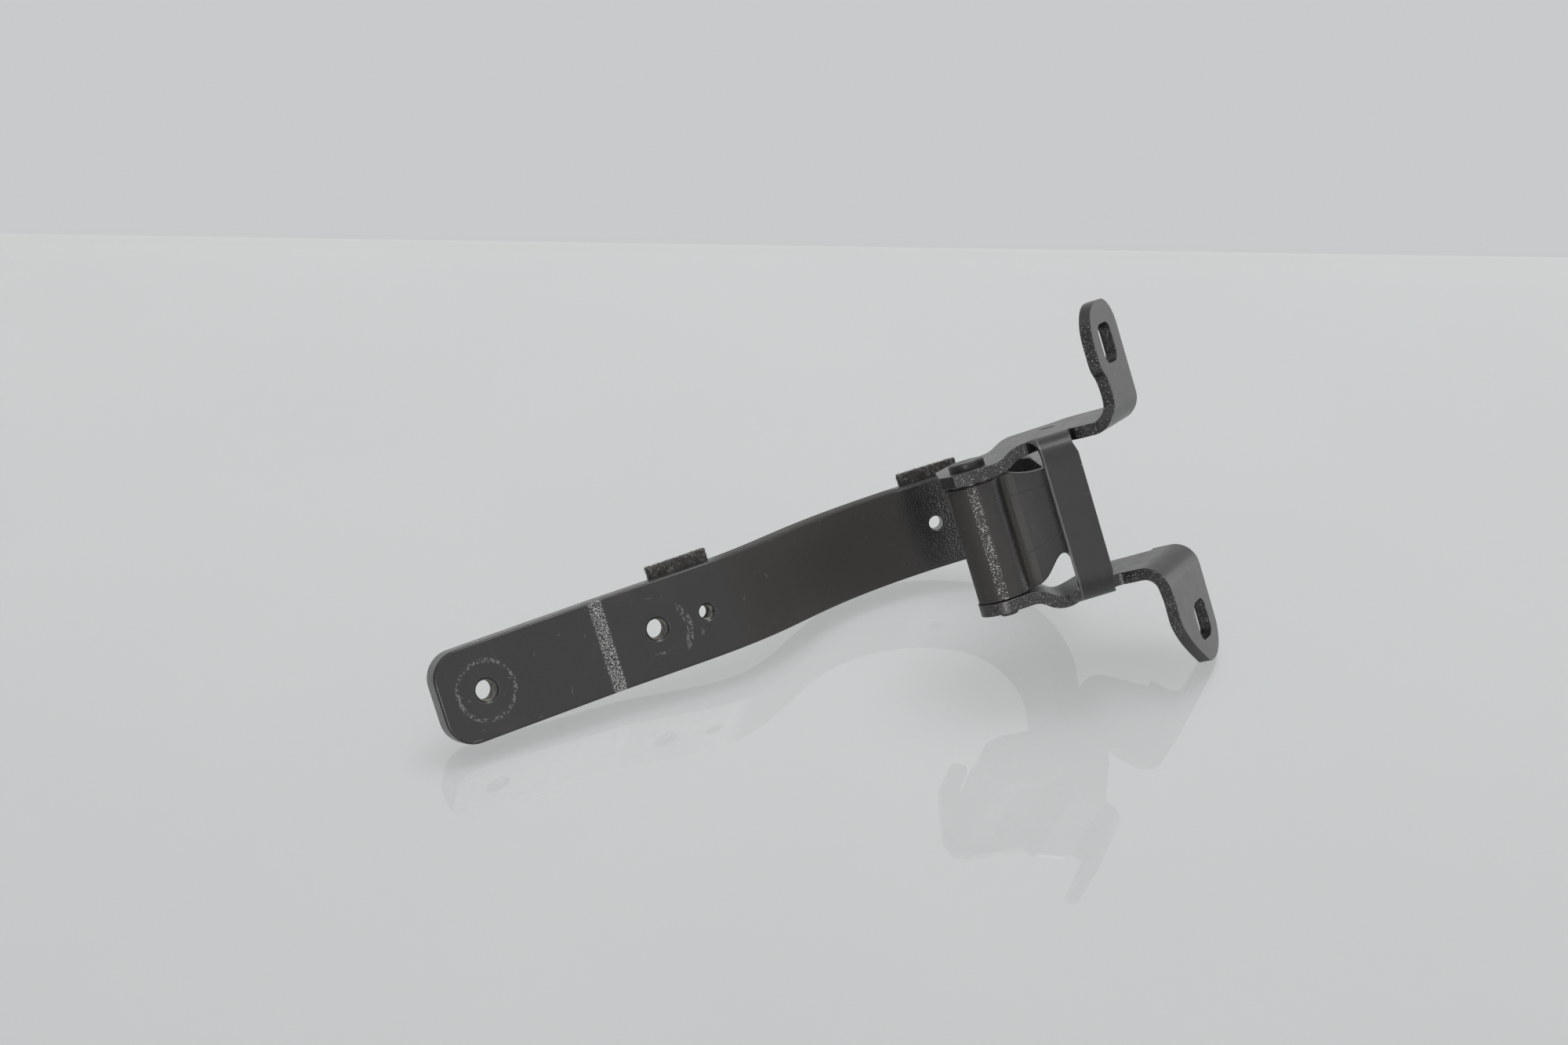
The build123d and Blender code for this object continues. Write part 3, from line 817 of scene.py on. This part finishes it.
@dataclass
class FeltPad:
    """A strip of felt glued on the arm's back, with a fuzzy face and a nap of loose fibres."""

    node: str
    seed: int
    voxel: float = 0.34 * MM
    soft_passes: int = 3
    fill: float = 0.85
    fuzz: float = 0.20 * MM
    lumps_per_metre: float = 900.0
    fine_lumps_per_metre: float = 2300.0
    fine_lump_share: float = 0.6
    fibres: int = 2600
    fibre_length: float = 0.9 * MM
    shortest_share: float = 0.35
    fibre_width: float = 0.035 * MM
    fibre_steps: tuple[float, ...] = (0.0, 0.35, 0.7, 1.0)
    fibre_rise: float = 0.7
    fibre_lean: float = 0.9
    fibre_bend: float = 0.35
    fibre_taper: float = 0.85

    def build(self, finish: bpy.types.Material) -> tuple[bpy.types.Object, bpy.types.Object]:
        """Makes the pad and its nap.

        Args:
            finish: The felt.

        Returns:
            The pad and the nap.
        """
        pad = self._pad(finish)
        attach(pad, "arm")
        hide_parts(self.node)
        nap = self._nap(pad.data, finish)
        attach(nap, "arm")
        return pad, nap

    def _pad(self, finish: bpy.types.Material) -> bpy.types.Object:
        """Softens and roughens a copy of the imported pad.

        Args:
            finish: The felt.

        Returns:
            The pad.
        """
        pad = bpy.data.objects.new(self.node + "_felt", frame["nodes"][self.node].data.copy())
        bpy.context.scene.collection.objects.link(pad)
        pad.data.materials.clear()
        remesh = pad.modifiers.new("even", "REMESH")
        remesh.mode = "VOXEL"
        remesh.voxel_size = self.voxel
        soft = pad.modifiers.new("soft", "SMOOTH")
        soft.iterations = self.soft_passes
        shaped = bpy.data.meshes.new_from_object(pad.evaluated_get(bpy.context.evaluated_depsgraph_get()))
        pad.modifiers.clear()
        pad.data = shaped
        pad.data.materials.append(finish)
        for point in shaped.vertices:
            lump = noise.noise(point.co * self.lumps_per_metre)
            lump += self.fine_lump_share * noise.noise(point.co * self.fine_lumps_per_metre)
            point.co += point.normal * (lump * self.fuzz)
        for face in shaped.polygons:
            face.use_smooth = True
        return pad

    def _nap(self, skin: bpy.types.Mesh, finish: bpy.types.Material) -> bpy.types.Object:
        """Scatters fibres over the pad's skin.

        Args:
            skin: The pad's mesh.
            finish: The felt.

        Returns:
            All the fibres as one piece.
        """
        chance = random.Random(self.seed)
        points: list[Vector] = []
        faces: list[tuple[int, ...]] = []
        for _ in range(self.fibres):
            root = skin.vertices[chance.randrange(len(skin.vertices))]
            lean = Vector([chance.gauss(0, 1) for _ in range(3)]).normalized()
            way = (root.normal * self.fibre_rise + lean * self.fibre_lean).normalized()
            bend = Vector([chance.gauss(0, 1) for _ in range(3)]).normalized() * self.fibre_bend
            side = way.cross(lean).normalized() * self.fibre_width
            reach = self.fibre_length * chance.uniform(self.shortest_share, 1.0)
            first = len(points)
            for step, share in enumerate(self.fibre_steps):
                middle = root.co + (way + bend * share) * (reach * share)
                width = side * (1.0 - self.fibre_taper * share)
                points += [middle - width, middle + width]
                if step:
                    low = first + 2 * (step - 1)
                    faces.append((low, low + 1, low + 3, low + 2))
        return mesh_object(self.node + "_nap", points, faces, finish)


@dataclass
class Arm:
    """The cranked arm with its rolled eye, tapped holes and felt pads."""

    half_bar: float = 4.5 * MM
    kink_distance: float = 41.5 * MM
    kink_half_width: float = 1.7 * MM
    kink_fade: float = 0.9 * MM
    # Painted highlight: glints painted on the front of the kink.
    kink_painted_glint_level: float = 0.52
    kink_painted_glint_share: float = 0.66
    eye_radius: float = 8.3 * MM
    eye_reach: float = 60.0 * MM
    eye_rough_radius: float = 9.2 * MM
    eye_rough_fade: float = 0.8 * MM
    skin_inner: float = 7.6 * MM
    skin_outer: float = 8.7 * MM
    skin_fade: float = 0.2 * MM
    # Painted highlight: a band of glints painted down the eye, turned toward the front lamp's reflection.
    band_turn: float = -6.15
    band_half_angle: float = 13.0
    band_fade: float = 0.133 * MM
    band_painted_glint_level: float = 0.58
    band_painted_glint_share: float = 0.85
    crank_rough_radius: float = 13.0 * MM
    crank_rough_fade: float = 7.0 * MM
    crank_rough_depth: float = 14.0 * MM
    bend_distance: float = 122.0 * MM
    bend_half_width: float = 32.0 * MM
    bend_fade: float = 9.0 * MM
    bend_dust: Colour = (0.026, 0.0235, 0.0215, 1.0)
    bend_dulling: float = 0.30
    groove_inner: float = 8.6 * MM
    groove_outer: float = 12.6 * MM
    groove_fade: float = 0.5 * MM
    groove_reach: float = 7.6 * MM
    groove_side_fade: float = 0.8 * MM
    # Painted highlight with dust: the lighter band in the groove stands in for the fillet's highlight.
    groove_dust_and_highlight: Colour = (0.038, 0.037, 0.031, 1.0)
    groove_dulling: float = 0.10
    mark_depth: float = 3.0 * MM
    stamp_right: float = 1.4 * MM
    stamp_below: float = 1.8 * MM
    stamp_radius: float = 9.9 * MM
    stamp_width: float = 1.9 * MM
    stamp_fade: float = 0.4 * MM
    stamp_reach: float = 0.60
    lower_mark_inner: float = 7.5 * MM
    lower_mark_outer: float = 8.1 * MM
    lower_mark_fade: float = 0.3 * MM
    lower_mark_reach: float = 7.0 * MM
    washer_inner: float = 9.0 * MM
    washer_outer: float = 9.6 * MM
    washer_fade: float = 0.6 * MM
    bolt_bore: float = 3.4 * MM
    bolt_pitch: float = 1.25 * MM
    small_bore: float = 2.5 * MM
    small_pitch: float = 1.0 * MM
    thread_length: float = 7.6 * MM
    thread_colour: Colour = (0.55, 0.53, 0.50, 1.0)
    thread_dark: Colour = (0.16, 0.152, 0.14, 1.0)
    thread_roughness: float = 0.34

    def build(self) -> None:
        """Dresses the arm and builds its threads and pads."""
        paint = BlackPaint(
            "arm_black_paint",
            rough_places=self._rough_places(),
            painted_glints=self._painted_glints(),
            dust_and_highlights=self._dust_and_highlights(),
            scuffed_places=self._marks(),
        )
        dress("arm", paint.make())
        LOG.info("arm dressed")
        self._threads()
        felt = Felt("dark_felt").make()
        for seed, node in enumerate(("outer_pad", "crank_pad")):
            FeltPad(node, seed).build(felt)
            LOG.info("%s built", node)

    def _along(self, distance: float, half_width: float, fade: float) -> Strip:
        """Lays a strip across the bar.

        Args:
            distance: How far it is from the end hole, toward the pin.
            half_width: Half its width along the bar.
            fade: How far its edges fade beyond that.

        Returns:
            The strip.
        """
        end, _ = mount("end_bolt_hole")
        outward = self._outward()
        return Strip(end - outward * distance, outward, half_width, fade)

    def _outward(self) -> Vector:
        """Returns the way along the bar's flat end, away from the pin."""
        _, axis = pivot()
        _, inner_axis = mount("inner_bolt_hole")
        return axis.cross(inner_axis).normalized()

    def _kink(self) -> Strip:
        """Returns the strip where the bar is bent slightly."""
        return self._along(self.kink_distance, self.kink_half_width, self.kink_fade)

    def _around_pin(self, inner: float, outer: float, fade: float) -> Ring:
        """Returns a ring about the pin, as deep as the eye."""
        pin, axis = pivot()
        return Ring(pin, axis, inner, outer, fade, self.eye_reach)

    def _rough_places(self) -> tuple[Place, ...]:
        """Finds where the steel was bent and the paint lies rough.

        Returns:
            The kink, the eye and the crank.
        """
        middle, axis = mount("crank_hole")
        radius, fade, depth = self.crank_rough_radius, self.crank_rough_fade, self.crank_rough_depth
        return (
            self._kink(),
            self._around_pin(0.0, self.eye_rough_radius, self.eye_rough_fade),
            Ring(middle, axis, 0.0, radius, fade, depth),
        )

    def _painted_glints(self) -> tuple[PaintedGlints, ...]:
        """Finds where glints are painted into the colour as painted highlights: the front of the kink, and a band
        down the eye along the line where the front lamp is reflected.

        Returns:
            The two places.
        """
        _, inner_axis = mount("inner_bolt_hole")
        to_right, to_back = bracket_ways()
        turn = math.radians(self.band_turn)
        band_way = to_right * math.sin(turn) - to_back * math.cos(turn)
        skin = self._around_pin(self.skin_inner, self.skin_outer, self.skin_fade)
        reach = self.eye_radius * math.cos(math.radians(self.band_half_angle))
        return (
            PaintedGlints(FacingStrip(self._kink(), -inner_axis), self.kink_painted_glint_level, self.kink_painted_glint_share),
            PaintedGlints(Arc(skin, band_way, reach, self.band_fade), self.band_painted_glint_level, self.band_painted_glint_share),
        )

    def _dust_and_highlights(self) -> tuple[DustAndHighlight, ...]:
        """Finds where dust lies on the hollow of the bend, and the lighter band in the groove where the eye meets
        the leaf, which is partly dust and partly a painted highlight.

        Returns:
            The two places.
        """
        to_right, _ = bracket_ways()
        foot = self._around_pin(self.groove_inner, self.groove_outer, self.groove_fade)
        groove = Arc(foot, to_right, self.groove_reach, self.groove_side_fade)
        bend = self._along(self.bend_distance, self.bend_half_width, self.bend_fade)
        return (
            DustAndHighlight(bend, self.bend_dust, self.bend_dulling),
            DustAndHighlight(groove, self.groove_dust_and_highlight, self.groove_dulling),
        )

    def _marks(self) -> tuple[Place, ...]:
        """Finds the round marks on the bar's front face, about the inner and the end hole.

        Returns:
            The stamp's arc, the smaller arc below the inner hole, and the washer's mark.
        """
        _, axis = pivot()
        inner, inner_axis = mount("inner_bolt_hole")
        end, end_axis = mount("end_bolt_hole")
        outward = self._outward()
        inner_face = inner - inner_axis * self.half_bar
        end_face = end - end_axis * self.half_bar
        middle = inner_face - outward * self.stamp_right - axis * self.stamp_below
        rim = self.stamp_radius
        stamp = Ring(middle, inner_axis, rim - self.stamp_width, rim, self.stamp_fade, self.mark_depth)
        lower = Ring(
            inner_face,
            inner_axis,
            self.lower_mark_inner,
            self.lower_mark_outer,
            self.lower_mark_fade,
            self.mark_depth,
        )
        return (
            Arc(stamp, -outward, self.stamp_reach * rim),
            Arc(lower, -axis, self.lower_mark_reach),
            Ring(end_face, end_axis, self.washer_inner, self.washer_outer, self.washer_fade, self.mark_depth),
        )

    def _threads(self) -> None:
        """Cuts the threads of the three tapped holes."""
        steel = BareMetal("thread_steel", self.thread_colour, self.thread_dark, self.thread_roughness).make()
        for name, bore, pitch in (
            ("end", self.bolt_bore, self.bolt_pitch),
            ("inner", self.bolt_bore, self.bolt_pitch),
            ("small", self.small_bore, self.small_pitch),
        ):
            thread = CutThread(f"{name}_hole_thread", f"{name}_bolt_hole", bore, self.thread_length, pitch)
            thread.build(steel)
            LOG.info("%s built", thread.name)


@dataclass
class Bracket:
    """The folded bracket: two ears, the web between them and the two flanges."""

    roughness: float = 0.29
    dust: float = 0.25
    peel_depth: float = 0.004 * MM
    edge_depth: float = 0.06 * MM
    web_middle: float = 27.9 * MM
    web_half_width: float = 5.8 * MM
    # Painted highlights: glints painted on the cut edges.
    edge_painted_glint_level: float = 0.62
    edge_painted_glint_share: float = 0.45
    web_left: float = 22.6 * MM
    # Painted highlight: a lighter line painted down the web's left corner.
    rim_highlight_half_width: float = 0.12 * MM
    rim_highlight_fade: float = 0.30 * MM
    rim_highlight_colour: Colour = (0.085, 0.085, 0.088, 1.0)

    def build(self) -> None:
        """Dresses the bracket: rough cut edges with painted glints, and a painted highlight line down the web's
        left side.
        """
        pin, _ = pivot()
        across, back = bracket_ways()
        edges = ShearedEdge(-back, pin + across * self.web_middle, across, self.web_half_width)
        side = Strip(pin + across * self.web_left, across, self.rim_highlight_half_width, self.rim_highlight_fade)
        paint = BlackPaint(
            "bracket_black_paint",
            roughness=self.roughness,
            dust=self.dust,
            peel_depth=self.peel_depth,
            rough_depth=self.edge_depth,
            rough_places=(edges,),
            painted_glints=(PaintedGlints(edges, self.edge_painted_glint_level, self.edge_painted_glint_share),),
            # Painted highlight line down the web's left corner.
            dust_and_highlights=(DustAndHighlight(FacingStrip(side, -back), self.rim_highlight_colour, 0.0),),
        )
        dress("bracket", paint.make())
        LOG.info("bracket dressed")


@dataclass
class Pivot:
    """The riveted pin and the two bushes that the eye turns on."""

    pin_roughness: float = 0.36
    pin_dust: float = 0.5
    pin_edge_radius: float = 0.3 * MM
    bush_colour: Colour = (0.17, 0.16, 0.15, 1.0)
    bush_dark: Colour = (0.05, 0.047, 0.043, 1.0)

    def build(self) -> None:
        """Dresses the pin and the bushes."""
        paint = BlackPaint(
            "pin_black_paint",
            roughness=self.pin_roughness,
            dust=self.pin_dust,
            edge_radius=self.pin_edge_radius,
        )
        dress("hinge_pin", paint.make())
        metal = BareMetal("bush_metal", self.bush_colour, self.bush_dark).make()
        for node in ("upper_bush", "lower_bush"):
            dress(node, metal)
        LOG.info("pin and bushes dressed")


@dataclass
class Lamp:
    """One soft studio lamp, aimed at the hinge. Its turn goes from the front to the right, in degrees."""

    name: str
    turn: float
    rise: float
    distance: float
    width: float
    height: float
    watts: float
    shape: LampShape = LampShape.STRIP
    aim: Vector = Vector((0.0, 0.0, 0.04))

    def build(self) -> bpy.types.Object:
        """Hangs the lamp.

        Returns:
            The lamp.
        """
        turn, rise = math.radians(self.turn), math.radians(self.rise)
        way = Vector((math.sin(turn) * math.cos(rise), -math.cos(turn) * math.cos(rise), math.sin(rise)))
        light = bpy.data.lights.new(self.name, "AREA")
        light.shape = self.shape.value
        light.size = self.width
        if self.shape is LampShape.STRIP:
            light.size_y = self.height
        light.energy = self.watts
        lamp = bpy.data.objects.new(self.name, light)
        bpy.context.scene.collection.objects.link(lamp)
        lamp.location = self.aim + way * self.distance
        lamp.rotation_mode = "QUATERNION"
        lamp.rotation_quaternion = (-way).to_track_quat("-Z", "Y")
        return lamp


@dataclass(frozen=True)
class Dimming:
    """A side of the room that gives less light. It starts and ends by how far a direction runs toward it."""

    toward: Vector
    start: float
    end: float
    least: float


@dataclass
class Studio:
    """The glass table, the pale surroundings, the lamps and the camera."""

    edge_left: Vector = Vector((-0.3380, 0.4321, 0.0))
    edge_right: Vector = Vector((0.3634, 0.2538, 0.0))
    overhang: float = 0.9
    front: float = 1.4
    first_face: float = 0.02 * MM
    second_face: float = 2.4 * MM
    wall_colour: Colour = (0.582, 0.588, 0.600, 1.0)
    surround_colour: Colour = (1.0, 1.0, 1.0, 1.0)
    surround_strength: float = 0.94
    dimmings: tuple[Dimming, ...] = (
        Dimming(Vector((-0.951, -0.255, 0.174)), 0.62, 0.90, 0.40),
        Dimming(Vector((0.0, 0.970, 0.243)), 0.47, 0.77, 0.64),
    )
    lamps: tuple[Lamp, ...] = (
        Lamp("front_lamp", -13.0, 13.0, 0.80, 0.06, 0.16, 1.0),
        Lamp("right_lamp", 108.0, 12.0, 1.00, 0.55, 0.45, 1.05),
        Lamp("top_lamp", 150.0, 72.0, 1.20, 0.55, 0.55, 5.0, LampShape.SQUARE),
    )
    camera_place: Vector = Vector((-0.073768, -0.654751, 0.413167))
    camera_right: Vector = Vector((0.992295, -0.117835, -0.038287))
    camera_down: Vector = Vector((-0.090895, -0.482337, -0.871257))
    camera_ahead: Vector = Vector((0.084198, 0.868025, -0.489331))
    lens_millimetres: float = 54.0
    sensor_millimetres: float = 36.0
    nearest: float = 0.01
    farthest: float = 20.0

    def build(self) -> None:
        """Sets up everything that isn't the hinge."""
        self._table()
        self._surround()
        for lamp in self.lamps:
            lamp.build()
        self._camera()
        bpy.context.scene.view_settings.view_transform = "Standard"
        LOG.info("studio built")

    def _table(self) -> None:
        """Lays the table: a clear upper face and a pale one below it, with the far edge in sight."""
        way = (self.edge_right - self.edge_left).normalized()
        left, right = self.edge_left - way * self.overhang, self.edge_right + way * self.overhang
        toward = Vector((0.0, -self.front, 0.0))
        faces = (
            ("glass_top", self.first_face, TableGlass("table_glass")),
            ("glass_backing", self.second_face, TableBacking("table_backing")),
        )
        for name, depth, finish in faces:
            drop = Vector((0.0, 0.0, -depth))
            corners = [left + drop, right + drop, right + toward + drop, left + toward + drop]
            mesh_object(name, corners, [(3, 2, 1, 0)], finish.make())

    def _surround(self) -> None:
        """Lights the hinge from all round, less from the left and the back, and shows the camera the wall."""
        world = bpy.data.worlds.new("pale_room")
        bpy.context.scene.world = world
        world.use_nodes = True
        board = NodeBoard(world.node_tree)
        way = board.node("TexCoord", {}).outputs["Generated"]
        strength: Feed = self.surround_strength
        for side in self.dimmings:
            dim = board.fade(board.dot(way, side.toward), side.start, side.end, 1.0, side.least)
            strength = board.times(dim, strength)
        light = board.node("Background", {"Color": self.surround_colour, "Strength": strength})
        wall = board.node("Background", {"Color": self.wall_colour})
        seen = board.node("LightPath", {}).outputs["Is Camera Ray"]
        choice = board.node("MixShader", {0: seen, 1: light.outputs[0], 2: wall.outputs[0]})
        board.node("OutputWorld", {"Surface": choice.outputs[0]})

    def _camera(self) -> None:
        """Stands the camera where the photograph was taken."""
        lens = bpy.data.cameras.new("camera")
        lens.lens = self.lens_millimetres
        lens.sensor_width = self.sensor_millimetres
        lens.clip_start = self.nearest
        lens.clip_end = self.farthest
        camera = bpy.data.objects.new("camera", lens)
        bpy.context.scene.collection.objects.link(camera)
        turn = Matrix((self.camera_right, -self.camera_down, -self.camera_ahead)).transposed().to_4x4()
        camera.matrix_world = Matrix.Translation(self.camera_place) @ turn
        bpy.context.scene.camera = camera


def main() -> None:
    """Builds the studio and dresses each sub-assembly in order."""
    logging.basicConfig(level=logging.INFO, format="%(name)s: %(message)s")
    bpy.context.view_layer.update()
    Studio().build()
    Arm().build()
    Bracket().build()
    Pivot().build()


if __name__ == "__main__":
    main()
